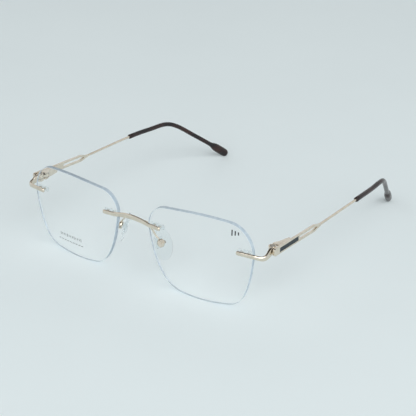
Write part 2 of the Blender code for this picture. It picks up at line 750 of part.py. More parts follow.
def pad_screw(side, parent, pad):
    """Slotted screw across the box, with its head on the side that faces back."""
    head = BOX_HALF[0] + CONTACT_GAP
    shank = rod((-BOX_HALF[0] + FIT_GAP, 0, 0), (head + 0.0003, 0, 0), PAD_BORE - CONTACT_GAP)
    made = part(f"pad_screw_{side}", shank, "screw_steel", parent, pad)
    foot, top, thick = PAD_SCREW_HEAD
    half, floor = PAD_SCREW_SLOT
    boolean(made, "UNION", rod((head, 0, 0), (head + thick, 0, 0), foot, 14, top), pad)
    slot = block((head + floor, -half, -0.002), (THROUGH, half, 0.002))
    boolean(made, "DIFFERENCE", slot, pad)


def pad_core(side, parent, pad):
    """Clear hard stud moulded into the pad: an eye on the screw, a neck and a flat plate."""
    half, neck = CORE_NECK
    (back, front), (low, high) = CORE_PLATE_X, CORE_PLATE_Y
    eye = rod((-half, 0, 0), (half, 0, 0), EYE_RADIUS, 14)
    made = part(f"pad_core_{side}", eye, "clear_plug", parent, pad)
    boolean(made, "UNION", block((-half, 0.0004, -neck), (half, low + 0.0002, neck)), pad)
    boolean(made, "UNION", block((back, low, -CORE_PLATE_Z), (front, high, CORE_PLATE_Z)), pad)
    boolean(made, "DIFFERENCE", rod((-THROUGH, 0, 0), (THROUGH, 0, 0), PAD_BORE + 0.00001), pad)


def nose_pad(side, parent, pad):
    """Soft oval cushion, flatter towards the frame, with the core's pocket moulded in."""
    half, neck = CORE_NECK
    (back, front), (low, high) = CORE_PLATE_X, CORE_PLATE_Y
    bm = bmesh.new()
    bmesh.ops.create_uvsphere(bm, u_segments=20, v_segments=10, radius=1.0)
    for vert in bm.verts:
        x, y, z = vert.co.xzy
        y = np.sign(y) * abs(y) ** (0.8 if y > 0 else 0.55)
        width = PAD_HALF[0] * (1 - 0.10 * z)
        vert.co = Vector((x * width, y * PAD_HALF[1], z * PAD_HALF[2])) + Vector(PAD_OFFSET)
    bmesh.ops.recalc_face_normals(bm, faces=bm.faces)
    made = part(f"nose_pad_{side}", mesh_of(bm), "clear_silicone", parent, pad, 80)
    gap, reach = CONTACT_GAP, CORE_PLATE_Z + CONTACT_GAP
    boolean(made, "DIFFERENCE", block((-half - gap, 0.0, -neck - gap), (half + gap, high, neck + gap)), pad)
    pocket = block((back - gap, low - gap, -reach), (front + gap, high + gap, reach))
    boolean(made, "DIFFERENCE", pocket, pad)


# ---------------------------------------------------------------- assembly


def world_points(names):
    graph = bpy.context.evaluated_depsgraph_get()
    found = []
    for obj in PARTS.objects:
        if obj.type != "MESH" or not obj.name.startswith(names):
            continue
        mesh = obj.evaluated_get(graph).to_mesh()
        local = np.empty(len(mesh.vertices) * 3)
        mesh.vertices.foreach_get("co", local)
        world = np.array(obj.evaluated_get(graph).matrix_world)
        found.append(local.reshape(-1, 3) @ world[:3, :3].T + world[:3, 3])
    return np.vstack(found)


def lean_angle():
    """The turn about X that brings the lowest points of the lenses and of the tips to one height."""
    front, rear = world_points(("lens",)), world_points(("temple_tip",))
    low, high = 0.0, radians(10)
    for _ in range(40):
        angle = (low + high) / 2
        heights = [(p[:, 1] * sin(angle) + p[:, 2] * cos(angle)).min() for p in (front, rear)]
        low, high = (angle, high) if heights[1] < heights[0] else (low, angle)
    return (low + high) / 2


def stand_on_table(frame):
    frame.matrix_local = Matrix.Rotation(lean_angle(), 4, "X")
    bpy.context.view_layer.update()
    points = world_points(("",))
    low, high = points.min(axis=0), points.max(axis=0)
    middle = (low + high) / 2
    frame.matrix_local = Matrix.Translation((-middle[0], -middle[1], -low[2])) @ frame.matrix_local


def build_side(side, front):
    """All the pieces of one side, in a frame whose X points outboard."""
    sign = 1 if side == "left" else -1
    parent = empty(f"side_{side}", front, Matrix.Diagonal((sign, 1, 1, 1)))
    hinge = Matrix.Translation(HINGE) @ Matrix.Rotation(-sign * STACK_TILT, 4, "X")
    temple = temple_frame()
    pad = pad_frame(side)
    lens(side, parent)
    plug(f"bridge_plug_{side}", parent, mount_frame(BRIDGE_MOUNT))
    plug(f"endpiece_plug_{side}", parent, mount_frame(ENDPIECE_MOUNT, ENDPIECE_ROLL))
    endpiece(side, parent, hinge)
    hinge_screw(side, parent, hinge)
    hinge_slider(side, parent, hinge, temple)
    spring_stop(side, parent, temple)
    flex_spring(side, parent, temple)
    spring_housing(side, parent, temple)
    temple_plate(side, parent, temple)
    temple_inlay(side, parent, temple)
    temple_tip(side, parent)
    pad_arm(side, parent)
    pad_box(side, parent, pad)
    pad_screw(side, parent, pad)
    pad_core(side, parent, pad)
    nose_pad(side, parent, pad)


clear_scene()
PARTS = collection("rimless_eyeglasses")
CUTTERS = collection("cutters")
front_frame = empty("front_frame")
bridge(front_frame)
for wearer_side in ("left", "right"):
    build_side(wearer_side, front_frame)
bpy.context.view_layer.update()
stand_on_table(front_frame)
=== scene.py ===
"""Looks of the rimless eyeglasses: fine meshes, materials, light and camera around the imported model."""

import json
from math import atan2, cos, pi, radians, sin, tan

import bmesh
import bpy
from mathutils import Matrix, Vector
import numpy as np

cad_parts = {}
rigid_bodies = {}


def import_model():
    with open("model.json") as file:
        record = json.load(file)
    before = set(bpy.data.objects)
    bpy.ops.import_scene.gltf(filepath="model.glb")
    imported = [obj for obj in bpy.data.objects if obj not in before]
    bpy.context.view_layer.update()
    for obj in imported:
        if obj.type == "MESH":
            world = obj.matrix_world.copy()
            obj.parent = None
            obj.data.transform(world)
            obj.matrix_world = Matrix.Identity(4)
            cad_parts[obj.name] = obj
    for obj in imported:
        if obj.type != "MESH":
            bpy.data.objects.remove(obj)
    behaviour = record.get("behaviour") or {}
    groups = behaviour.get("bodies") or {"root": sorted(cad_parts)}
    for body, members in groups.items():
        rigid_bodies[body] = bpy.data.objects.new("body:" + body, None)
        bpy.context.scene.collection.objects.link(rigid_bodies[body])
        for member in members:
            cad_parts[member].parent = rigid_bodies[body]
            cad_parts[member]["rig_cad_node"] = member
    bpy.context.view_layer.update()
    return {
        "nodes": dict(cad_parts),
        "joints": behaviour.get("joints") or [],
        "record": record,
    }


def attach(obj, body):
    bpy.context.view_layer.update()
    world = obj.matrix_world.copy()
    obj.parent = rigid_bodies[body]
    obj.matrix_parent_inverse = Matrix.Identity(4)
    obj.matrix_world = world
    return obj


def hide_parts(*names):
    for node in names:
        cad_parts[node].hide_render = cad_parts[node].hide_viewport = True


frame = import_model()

# Lenses.
LENS_WIDTH = 0.0510
BRIDGE_GAP = 0.0170
LENS_RADIUS = 0.140
LENS_THICK = 0.0019
LENS_BEVEL = 0.00012
WRAP = radians(4.2)
LENS_OUTLINE = (
    (0.0254, 0.0058, 84),
    (0.0150, 0.0199, 174),
    (-0.0173, 0.0189, 187),
    (-0.0254, 0.0077, 280),
    (-0.0203, -0.0106, 297),
    (-0.0101, -0.0197, 351),
    (0.0134, -0.0193, 9),
    (0.0208, -0.0135, 66),
)
OUTLINE_HANDLE = 0.36
OUTLINE_STEPS = 16

# Two-pin lens mounts.
PIN_PLACES = (-0.0015, 0.0015)
PIN_RADIUS = 0.00045
SLEEVE_BORE = 0.00052
SLEEVE_RADIUS = 0.00072
LENS_HOLE = 0.00078
PLUG_SIZE = (0.0070, 0.0008, 0.0019)
PIN_TAIL = 0.0005
CONTACT_GAP = 0.00006
BRIDGE_MOUNT = (0.0125, 0.0090)
ENDPIECE_MOUNT = (0.0558, 0.00755)
ENDPIECE_ROLL = radians(4.5)

# Bars, their arch and their elbow: x, y, z, half width, half height and squareness.
BAR_DEPTH = 0.00062
BAR_HEIGHT = 0.00100
BAR_SQUARE = 0.05
BAR_Y = -(BAR_DEPTH + CONTACT_GAP)
BRIDGE_REACH = 0.0031
ENDPIECE_REACH = 0.0034
ARCH = (
    (0.0066, 0.00012, 0.00955, 0.00061, 0.00109, BAR_SQUARE),
    (0.0036, 0.00010, 0.01000, 0.00063, 0.00118, BAR_SQUARE),
    (0.0000, 0.00005, 0.01030, 0.00065, 0.00122, BAR_SQUARE),
)
ELBOW = (
    (0.0630, 0.0048, 0.0069, 0.00063, 0.00104, 0.25),
    (0.0640, 0.0060, 0.0070, 0.00064, 0.00120, 0.35),
    (0.0641, 0.0076, 0.0072, 0.00064, 0.00142, 0.50),
    (0.0640, 0.0090, 0.0076, 0.00068, 0.00162, 0.65),
    (0.0639, 0.0104, 0.0079, 0.00082, 0.00174, 0.80),
    (0.0638, 0.0114, 0.0079, 0.00092, 0.00175, 0.85),
)

# Hinge.
HINGE = (0.06335, 0.0124, 0.0079)
STACK_TILT = radians(1.5)
KNUCKLE_RADIUS = 0.00165
KNUCKLE_HALF = 0.0018
SLOT_HALF = 0.00065
SLOT_RADIUS = 0.00185
TONGUE_HALF = 0.00055
SCREW_RADIUS = 0.00050
SCREW_BORE = 0.00057
SCREW_HEAD = 0.00105
HEAD_THICK = 0.00045
SCREW_SLOT = (0.00012, 0.00022)
THROUGH = 0.003
FIT_GAP = 0.00005

# Temple.
TEMPLE_PITCH = radians(6.0)
TEMPLE_TOE = radians(0.45)
PLATE_INNER = 0.00185
PLATE_THICK = 0.0010
PLATE_CENTRE = PLATE_INNER + PLATE_THICK / 2
WIRE_RADIUS = 0.00058
PLATE_FRONT = -0.0026
PLATE_REAR = 0.0350
WINDOW_FRONT = 0.0172
INLAY_DEPTH = 0.00035
INLAY_THICK = 0.00028
INLAY_ENDS = (0.0014, 0.0162)
WIRE_KNOTS = (
    (0.0652, 0.0796, 0.0020),
    (0.0644, 0.0960, 0.0003),
    (0.0632, 0.1075, -0.0010),
    (0.0611, 0.1148, -0.0044),
    (0.0577, 0.1238, -0.0118),
    (0.0540, 0.1330, -0.0196),
    (0.0499, 0.1438, -0.0291),
)
PATH_STEPS = 8
TIP_HALF = (0.00108, 0.00112)
PADDLE = (
    (0.0143, 0.00108, 0.00112),
    (0.0130, 0.00112, 0.00126),
    (0.0112, 0.00140, 0.00176),
    (0.0095, 0.00164, 0.00206),
    (0.0075, 0.00172, 0.00214),
    (0.0030, 0.00172, 0.00212),
    (0.0013, 0.00158, 0.00188),
    (0.0004, 0.00112, 0.00134),
    (0.0000, 0.00052, 0.00064),
)

# Spring housing and carriage.
HOUSING_START = 0.00205
HOUSING_END = 0.0119
HOUSING_INNER = -0.00145
HOUSING_HALF = (0.00172, 0.00143)
MOUTH_HALF = 0.00105
MOUTH_END = 0.0052
CARRIAGE = (0.0020, 0.0049)
CARRIAGE_HALF = 0.00085
ROD_X = 0.00105
ROD_END = 0.0089
ROD_RADIUS = 0.00026

# Nose pads.
PAD_BOX = (0.0112, 0.0058)
PAD_BOX_Z = {"left": -0.0015, "right": 0.0005}
PAD_SPLAY = radians(25)
PAD_FRONTAL = radians(18)
PAD_OFFSET = (0.0018, 0.00205, -0.0012)
PAD_HALF = (0.00425, 0.00095, 0.0072)
BOX_HALF = (0.0017, 0.0019)
BOX_DEPTH = (-0.00095, 0.0007)
BOX_CAVITY = (0.0011, 0.0013)
BOX_FLOOR = -0.0007
PAD_BORE = 0.00040
ARM_ROOT = (
    (0.0056, 0.00086, 0.00945),
    (0.0057, 0.0018, 0.0092),
    (0.0063, 0.0031, 0.0079),
    (0.0077, 0.0042, 0.0056),
)
ARM_END = ((-0.0018, -0.0008, 0.0034), (-0.00065, -0.0003, 0.00205))
ARM_RADIUS = 0.0004

# Camera, in the front's frame, and the look of the stage.
CAMERA_PLACE = (0.290418, -0.345639, 0.248721)
CAMERA_FORWARD = (-0.51944, 0.71829, -0.46286)
CAMERA_ROLL = radians(-1.573)
CAMERA_LENS = 103.04


# ---------------------------------------------------------------- materials


def node_of(tree, kind, **settings):
    made = tree.nodes.new("ShaderNode" + kind)
    for name, value in settings.items():
        if name in made.inputs:
            made.inputs[name].default_value = value
        else:
            setattr(made, name, value)
    return made


def new_material(name, settings):
    made = bpy.data.materials.new(name)
    made.use_nodes = True
    shader = made.node_tree.nodes["Principled BSDF"]
    for socket, value in settings.items():
        shader.inputs[socket].default_value = value
    return made, made.node_tree, shader


def noise(tree, scale, detail=4.0, stretch=(1, 1, 1)):
    """Noise in the object's own space. Scale is in features a metre."""
    place = node_of(tree, "TexCoord")
    mapping = node_of(tree, "Mapping")
    mapping.inputs["Scale"].default_value = stretch
    made = node_of(tree, "TexNoise", Scale=scale, Detail=detail)
    tree.links.new(place.outputs["Object"], mapping.inputs["Vector"])
    tree.links.new(mapping.outputs["Vector"], made.inputs["Vector"])
    return made.outputs["Fac"]


def ranged(tree, value, low, high, to_low, to_high):
    made = node_of(tree, "MapRange")
    for name, number in zip(("From Min", "From Max", "To Min", "To Max"), (low, high, to_low, to_high)):
        made.inputs[name].default_value = number
    tree.links.new(value, made.inputs["Value"])
    return made.outputs["Result"]


def mixed_colour(tree, factor, first, second):
    made = node_of(tree, "Mix", data_type="RGBA")
    made.inputs["A"].default_value = first
    made.inputs[6].default_value = first
    made.inputs[7].default_value = second
    tree.links.new(factor, made.inputs[0])
    return made.outputs[2]


def bump(tree, shader, height, strength, distance):
    made = node_of(tree, "Bump", Strength=strength, Distance=distance)
    tree.links.new(height, made.inputs["Height"])
    tree.links.new(made.outputs["Normal"], shader.inputs["Normal"])


def metal(name, light, dark, roughness, bumpiness=0.10, grain=(1, 1, 1)):
    """Polished or turned metal: faint tarnish, uneven polish and hairline scratches."""
    made, tree, shader = new_material(name, {"Metallic": 1.0})
    tone = ranged(tree, noise(tree, 260, 5), 0.35, 0.65, 0.0, 1.0)
    tree.links.new(mixed_colour(tree, tone, dark, light), shader.inputs["Base Color"])
    polish_and_painted_reflection = ranged(tree, noise(tree, 1400, 6, grain), 0.3, 0.7, *roughness)
    tree.links.new(polish_and_painted_reflection, shader.inputs["Roughness"])
    bump(tree, shader, noise(tree, 5200, 3, grain), bumpiness, 0.00002)
    return made


def let_lamps_through(tree, shader, colour):
    """Shadow rays pass straight through, so that clear pieces cast only a faint shadow."""
    path = node_of(tree, "LightPath")
    through = node_of(tree, "BsdfTransparent", Color=colour)
    mix = node_of(tree, "MixShader")
    tree.links.new(path.outputs["Is Shadow Ray"], mix.inputs[0])
    tree.links.new(shader.outputs["BSDF"], mix.inputs[1])
    tree.links.new(through.outputs["BSDF"], mix.inputs[2])
    tree.links.new(mix.outputs["Shader"], tree.nodes["Material Output"].inputs["Surface"])


def clear(name, colour, roughness, ior, frost, lets_through):
    """Clear glass, plastic or silicone with faint smears on its surface."""
    settings = {"Base Color": colour, "IOR": ior, "Transmission Weight": 1.0}
    made, tree, shader = new_material(name, settings)
    smear = ranged(tree, noise(tree, 160, 4), 0.4, 0.7, *roughness)
    tree.links.new(smear, shader.inputs["Roughness"])
    bump(tree, shader, noise(tree, 2500, 2), frost, 0.00002)
    let_lamps_through(tree, shader, (lets_through, lets_through, lets_through, 1))
    return made


def plastic(name, light, dark, roughness, **settings):
    made, tree, shader = new_material(name, settings)
    cloud = ranged(tree, noise(tree, 220, 5, (1, 0.35, 1)), 0.35, 0.65, 0.0, 1.0)
    tree.links.new(mixed_colour(tree, cloud, dark, light), shader.inputs["Base Color"])
    gloss = ranged(tree, noise(tree, 900, 5), 0.3, 0.7, *roughness)
    tree.links.new(gloss, shader.inputs["Roughness"])
    bump(tree, shader, noise(tree, 1800, 3), 0.06, 0.00003)
    return made


GOLD = metal("polished_gold_fine", (0.80, 0.72, 0.61, 1), (0.71, 0.635, 0.53, 1), (0.10, 0.22))
STEEL = metal("screw_steel_fine", (0.58, 0.55, 0.50, 1), (0.46, 0.43, 0.38, 1), (0.20, 0.38), 0.2)
SPRING = metal("spring_steel_fine", (0.52, 0.52, 0.54, 1), (0.40, 0.40, 0.42, 1), (0.25, 0.4), 0.2)
LENS = clear("clear_lens_fine", (0.998, 1.0, 0.999, 1), (0.0, 0.02), 1.30, 0.0, 0.98)
PLUG = clear("clear_plug_fine", (0.89, 0.92, 0.93, 1), (0.20, 0.34), 1.05, 0.03, 0.85)
SILICONE = clear("clear_silicone_fine", (0.95, 0.97, 0.975, 1), (0.12, 0.24), 1.10, 0.05, 0.9)
TIP = plastic(
    "tip_acetate_fine", (0.030, 0.012, 0.010, 1), (0.007, 0.005, 0.006, 1), (0.14, 0.28), **{"Specular IOR Level": 0.4}
)
ENAMEL = plastic(
    "inlay_enamel_fine", (0.014, 0.026, 0.036, 1), (0.006, 0.012, 0.018, 1), (0.22, 0.36), **{"Specular IOR Level": 0.35}
)
INK = plastic("print_ink_fine", (0.035, 0.04, 0.045, 1), (0.012, 0.015, 0.02, 1), (0.35, 0.6))


def ground_edge():
    """Ground lens edge: a cool milky surface, with a painted reflection of the pale floor in its colour below the
    lens's middle.
    """
    made, tree, shader = new_material(
        "ground_edge_fine", {"IOR": 1.3, "Transmission Weight": 0.35}
    )
    tone = ranged(tree, noise(tree, 700, 5), 0.35, 0.65, 0.0, 1.0)
    colour = mixed_colour(tree, tone, (0.40, 0.49, 0.57, 1), (0.52, 0.61, 0.68, 1))
    # Painted reflection: below the lens's middle, the edge's colour is blended by height towards a pale tone, as if it
    # mirrored the bright floor.
    height = node_of(tree, "SeparateXYZ")
    tree.links.new(node_of(tree, "TexCoord").outputs["Object"], height.inputs["Vector"])
    polish_and_painted_reflection = ranged(tree, height.outputs["Z"], -0.003, 0.010, 0.75, 0.0)
    painted_floor_reflection = mixed_colour(tree, polish_and_painted_reflection, (0, 0, 0, 1), (0.44, 0.50, 0.54, 1))
    tree.links.new(colour, painted_floor_reflection.node.inputs[6])
    tree.links.new(painted_floor_reflection, shader.inputs["Base Color"])
    tree.links.new(ranged(tree, noise(tree, 2400, 4), 0.3, 0.7, 0.35, 0.55), shader.inputs["Roughness"])
    bump(tree, shader, noise(tree, 6000, 2), 0.2, 0.00002)
    let_lamps_through(tree, shader, (0.7, 0.76, 0.8, 1))
    return made


EDGE = ground_edge()
SLOT_MATERIALS = {
    "polished_gold": GOLD,
    "screw_steel": STEEL,
    "spring_steel": SPRING,
    "clear_lens": LENS,
    "clear_plug": PLUG,
    "clear_silicone": SILICONE,
    "tip_acetate": TIP,
    "inlay_enamel": ENAMEL,
}


# ---------------------------------------------------------------- shapes


def mesh_of(bm):
    mesh = bpy.data.meshes.new("shape")
    bm.to_mesh(mesh)
    bm.free()
    return mesh


def evaluated(mesh, modify):
    """The mesh with modifiers applied. modify gets the temporary object and adds them."""
    obj = bpy.data.objects.new("work", mesh)
    bpy.context.scene.collection.objects.link(obj)
    modify(obj)
    graph = bpy.context.evaluated_depsgraph_get()
    made = bpy.data.meshes.new_from_object(obj.evaluated_get(graph))
    bpy.data.objects.remove(obj)
    return made


def combined(mesh, *steps):
    """Booleans in order, each ("UNION" or "DIFFERENCE" or "INTERSECT", mesh)."""
    tools = []

    def modify(obj):
        for operation, other in steps:
            tool = bpy.data.objects.new("tool", other)
            bpy.context.scene.collection.objects.link(tool)
            modifier = obj.modifiers.new(operation, "BOOLEAN")
            modifier.operation = operation
            modifier.solver = "EXACT"
            modifier.object = tool
            tools.append(tool)

    made = evaluated(mesh, modify)
    for tool in tools:
        bpy.data.objects.remove(tool)
    return made


def eased(mesh, width, segments=3, angle=35):
    """Edges sharper than the angle rounded off."""

    def modify(obj):
        weld = obj.modifiers.new("weld", "WELD")
        weld.merge_threshold = 1e-7
        bevel = obj.modifiers.new("bevel", "BEVEL")
        bevel.width = width
        bevel.segments = segments
        bevel.limit_method = "ANGLE"
        bevel.angle_limit = radians(angle)
        bevel.use_clamp_overlap = True
        bevel.harden_normals = False

    return evaluated(mesh, modify)


def moved(mesh, matrix):
    mesh.transform(matrix)
    if matrix.determinant() < 0:
        mesh.flip_normals()
    return mesh


def block(low, high, bevel=0.0, segments=4):
    low, high = Vector(low), Vector(high)
    bm = bmesh.new()
    bmesh.ops.create_cube(bm, size=1.0)
    for vert in bm.verts:
        vert.co = (low + high) / 2 + Vector(c * (b - a) for c, a, b in zip(vert.co, low, high))
    if bevel:
        bmesh.ops.bevel(bm, geom=bm.edges[:], offset=bevel, segments=segments, profile=0.5, affect="EDGES")
    return mesh_of(bm)


def rod(start, end, radius, sides=32, end_radius=None, bevel=0.0):
    start, end = Vector(start), Vector(end)
    top = radius if end_radius is None else end_radius
    bm = bmesh.new()
    bmesh.ops.create_cone(
        bm, cap_ends=True, segments=sides, radius1=radius, radius2=top, depth=(end - start).length
    )
    if bevel:
        rims = [e for e in bm.edges if any(len(f.verts) > 4 for f in e.link_faces)]
        bmesh.ops.bevel(bm, geom=rims, offset=bevel, segments=3, profile=0.5, affect="EDGES")
    turn = (end - start).to_track_quat("Z", "Y").to_matrix().to_4x4()
    bm.transform(Matrix.Translation((start + end) / 2) @ turn)
    return mesh_of(bm)


def from_curve(data):
    curve = bpy.data.objects.new("curve", data)
    bpy.context.scene.collection.objects.link(curve)
    graph = bpy.context.evaluated_depsgraph_get()
    mesh = bpy.data.meshes.new_from_object(curve.evaluated_get(graph))
    bpy.data.objects.remove(curve)
    bm = bmesh.new()
    bm.from_mesh(mesh)
    bmesh.ops.remove_doubles(bm, verts=bm.verts, dist=1e-7)
    bmesh.ops.recalc_face_normals(bm, faces=bm.faces)
    return mesh_of(bm)


def flat(outlines, low, high):
    data = bpy.data.curves.new("outline", "CURVE")
    data.dimensions = "2D"
    data.fill_mode = "BOTH"
    data.extrude = (high - low) / 2
    for points in outlines:
        spline = data.splines.new("POLY")
        spline.points.add(len(points) - 1)
        for i, place in enumerate(points):
            spline.points[i].co = (place[0], place[1], 0, 1)
        spline.use_cyclic_u = True
    return moved(from_curve(data), Matrix.Translation((0, 0, (low + high) / 2)))


def upright(outlines, low, high):
    """Outlines of (y, z) in a temple's frame, made solid from low to high along its X."""
    return moved(flat(outlines, low, high), Matrix.Rotation(pi / 2, 4, "Z") @ Matrix.Rotation(pi / 2, 4, "X"))


def rounded(corners, radius, steps=6):
    radii = radius if isinstance(radius, (list, tuple)) else [radius] * len(corners)
    points = []
    for i, size in enumerate(radii):
        here, before, after = (Vector(corners[(i + k) % len(corners)]) for k in (0, -1, 1))
        if not size:
            points.append(here)
            continue
        inward, outward = (before - here).normalized(), (after - here).normalized()
        reach = size / tan(inward.angle(outward) / 2)
        reach = min(reach, 0.48 * (before - here).length, 0.48 * (after - here).length)
        start, end = here + inward * reach, here + outward * reach
        for k in range(steps + 1):
            t = k / steps
            points.append((1 - t) ** 2 * start + 2 * t * (1 - t) * here + t * t * end)
    return points


def smooth(stations, steps):
    """Catmull-Rom values between stations, each a tuple of numbers."""
    rows = [np.array(s, float) for s in stations]
    rows = [2 * rows[0] - rows[1], *rows, 2 * rows[-1] - rows[-2]]
    found = []
    for a, b, c, d in zip(rows, rows[1:], rows[2:], rows[3:]):
        square, cube = 2 * a - 5 * b + 4 * c - d, 3 * b - a - 3 * c + d
        for t in (k / steps for k in range(steps)):
            found.append(0.5 * (2 * b + (c - a) * t + square * t**2 + cube * t**3))
    found.append(rows[-2])
    return found


def place_from_end(points, distance):
    for after, before in zip(points[::-1], points[-2::-1]):
        length = (after - before).length
        if distance <= length:
            return after + (before - after) * (distance / length)
        distance -= length
    return points[0]


def loft(stations, sides=32, upright_way=Vector((0, 0, 1))):
    """A closed body through sections, each (x, y, z, half width, half height, squareness 0 to 1)."""
    bm = bmesh.new()
    centres = [Vector(s[:3]) for s in stations]
    rings = []
    for i, (centre, station) in enumerate(zip(centres, stations)):
        along = centres[min(i + 1, len(centres) - 1)] - centres[max(i - 1, 0)]
        across = along.cross(upright_way).normalized()
        up = across.cross(along).normalized()
        power = 1 - 0.75 * station[5]
        ring = []
        for k in range(sides):
            angle = 2 * pi * (k + 0.5) / sides
            a, b = cos(angle), sin(angle)
            wide = station[3] * np.sign(a) * abs(a) ** power
            high = station[4] * np.sign(b) * abs(b) ** power
            ring.append(bm.verts.new(centre + across * wide + up * high))
        rings.append(ring)
    for a, b in zip(rings, rings[1:]):
        for k in range(sides):
            bm.faces.new((a[k], a[(k + 1) % sides], b[(k + 1) % sides], b[k]))
    bm.faces.new(rings[0])
    bm.faces.new(rings[-1])
    bmesh.ops.recalc_face_normals(bm, faces=bm.faces)
    return mesh_of(bm)


def wire(points, radius, sides=20):
    """A round wire with domed ends."""
    points = [Vector(p) for p in points]
    first = (points[0] - points[1]).normalized()
    last = (points[-1] - points[-2]).normalized()
    dome = ((0.55, 0.45), (0.3, 0.78), (0.0, 1.0))
    stations = [(*(points[0] + first * radius * r), radius * s, radius * s, 0) for r, s in dome]
    stations += [(*p, radius, radius, 0) for p in points[1:-1]]
    stations += [(*(points[-1] + last * radius * r), radius * s, radius * s, 0) for r, s in dome[::-1]]
    return loft(stations, sides)


# ---------------------------------------------------------------- frames


def front_matrix():
    """Where the front's own frame stands: from the two fold joints, whose screws lean opposite ways."""
    joints = {j["name"]: j for j in frame["joints"]}
    left, right = joints["left_temple_fold"], joints["right_temple_fold"]
    up = Vector(left["axis"]) - Vector(right["axis"])
    turn = Matrix.Rotation(atan2(-up.y, up.z), 4, "X")
    return Matrix.Translation(Vector(left["pos_m"]) - turn @ Vector(HINGE)) @ turn


FRONT = front_matrix()


def side_matrix(side):
    return FRONT @ Matrix.Diagonal((1 if side == "left" else -1, 1, 1, 1))


def lens_frame():
    return Matrix.Translation(((LENS_WIDTH + BRIDGE_GAP) / 2, 0, 0)) @ Matrix.Rotation(WRAP, 4, "Z")


def mount_frame(place, roll=0.0):
    lens_place = lens_frame()
    x, z = (lens_place.inverted() @ Vector((place[0], 0, 0))).x, place[1]
    back = Vector((-x / LENS_RADIUS, 1, -z / LENS_RADIUS)).normalized()
    along = Vector((1, x / LENS_RADIUS, 0)).normalized()
    turn = Matrix((along, back, along.cross(back))).transposed().to_4x4()
    origin = Vector((x, (x * x + z * z) / (2 * LENS_RADIUS), z))
    return lens_place @ Matrix.Translation(origin) @ turn @ Matrix.Rotation(roll, 4, "Y")


def hinge_frame(side):
    tilt = -STACK_TILT if side == "left" else STACK_TILT
    return Matrix.Translation(HINGE) @ Matrix.Rotation(tilt, 4, "X")


def temple_frame():
    turn = Matrix.Rotation(TEMPLE_TOE, 4, "Z") @ Matrix.Rotation(-TEMPLE_PITCH, 4, "X")
    return Matrix.Translation(HINGE) @ turn


def pad_box_place(side):
    return Vector((*PAD_BOX, PAD_BOX_Z[side]))


def pad_frame(side):
    flatwise = cos(PAD_FRONTAL)
    nose = Vector((-flatwise * cos(PAD_SPLAY), flatwise * sin(PAD_SPLAY), -sin(PAD_FRONTAL))).normalized()
    up = (Vector((0, 0, 1)) - nose * nose.z).normalized()
    turn = Matrix((nose.cross(up), nose, up)).transposed().to_4x4()
    return Matrix.Translation(pad_box_place(side)) @ turn


def piece(node, mesh, side=None, materials=None, smooth_angle=40, name=None):
    """A fine mesh, given in the front's frame with X outboard, that stands for a CAD node."""
    moved(mesh, side_matrix(side) if side else FRONT)
    made = bpy.data.objects.new(name or f"{node}_fine", mesh)
    bpy.context.scene.collection.objects.link(made)
    record = frame["record"]
    slot = next(s["material_slot"] for s in record["subparts"] if s["node"] == node)
    body = next(b for b, nodes in record["behaviour"]["bodies"].items() if node in nodes)
    if not mesh.materials:
        for material in materials or [SLOT_MATERIALS[slot]]:
            mesh.materials.append(material)
    mesh.shade_smooth()
    mesh.set_sharp_from_angle(angle=radians(smooth_angle))
    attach(made, body)
    if name is None:
        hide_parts(node)
    return made


# ---------------------------------------------------------------- lenses and mounts


def lens_outline():
    points = []
    for i, (x0, z0, heading0) in enumerate(LENS_OUTLINE):
        x3, z3, heading3 = LENS_OUTLINE[(i + 1) % len(LENS_OUTLINE)]
        start, end = Vector((x0, z0)), Vector((x3, z3))
        reach = OUTLINE_HANDLE * (end - start).length
        leave = start + reach * Vector((cos(radians(heading0)), sin(radians(heading0))))
        arrive = end - reach * Vector((cos(radians(heading3)), sin(radians(heading3))))
        for t in (k / OUTLINE_STEPS for k in range(OUTLINE_STEPS)):
            near = (1 - t) ** 3 * start + 3 * (1 - t) ** 2 * t * leave
            points.append(near + 3 * (1 - t) * t**2 * arrive + t**3 * end)
    return points


def lens_depth(x, z):
    return (x * x + z * z) / (2 * LENS_RADIUS)


def lens_mesh():
    """Curved shell with a small chamfer round both sides of its ground edge, in the lens's frame."""
    outline = lens_outline()
    shrink = 1 - LENS_BEVEL / 0.0225
    rings = [(s, 0.0) for s in (0.25, 0.5, 0.72, 0.88, 0.96, shrink)]
    rings += [(1.0, LENS_BEVEL), (1.0, LENS_THICK - LENS_BEVEL)]
    rings += [(s, LENS_THICK) for s in (shrink, 0.96, 0.88, 0.72, 0.5, 0.25)]
    bm = bmesh.new()
    made = []
    for scale, depth in rings:
        made.append([bm.verts.new((p.x * scale, lens_depth(*(p * scale)) + depth, p.y * scale)) for p in outline])
    count = len(outline)
    for i, (a, b) in enumerate(zip(made, made[1:])):
        for k in range(count):
            face = bm.faces.new((a[k], b[k], b[(k + 1) % count], a[(k + 1) % count]))
            face.material_index = 1 if rings[i][0] >= shrink and rings[i + 1][0] >= shrink else 0
    for ring, depth in ((made[0], 0.0), (made[-1], LENS_THICK)):
        centre = bm.verts.new((0, depth, 0))
        for k in range(count):
            bm.faces.new((ring[k], ring[(k + 1) % count], centre))
    bmesh.ops.recalc_face_normals(bm, faces=bm.faces)
    return mesh_of(bm)


def mounts():
    return mount_frame(BRIDGE_MOUNT), mount_frame(ENDPIECE_MOUNT, ENDPIECE_ROLL)


def lens(side):
    """A lens whose hole walls look like the sleeves that fill them."""
    blank = moved(lens_mesh(), lens_frame())
    holes = []
    for mount in mounts():
        for x in PIN_PLACES:
            holes.append(moved(rod((x, -THROUGH, 0), (x, THROUGH, 0), LENS_HOLE, 24), mount))
            holes[-1].polygons.foreach_set("material_index", [2] * len(holes[-1].polygons))
    for mesh in (blank, *holes):
        for material in (LENS, EDGE, PLUG):
            mesh.materials.append(material)
    piece(f"lens_{side}", combined(blank, *[("DIFFERENCE", hole) for hole in holes]), side, None, 28)


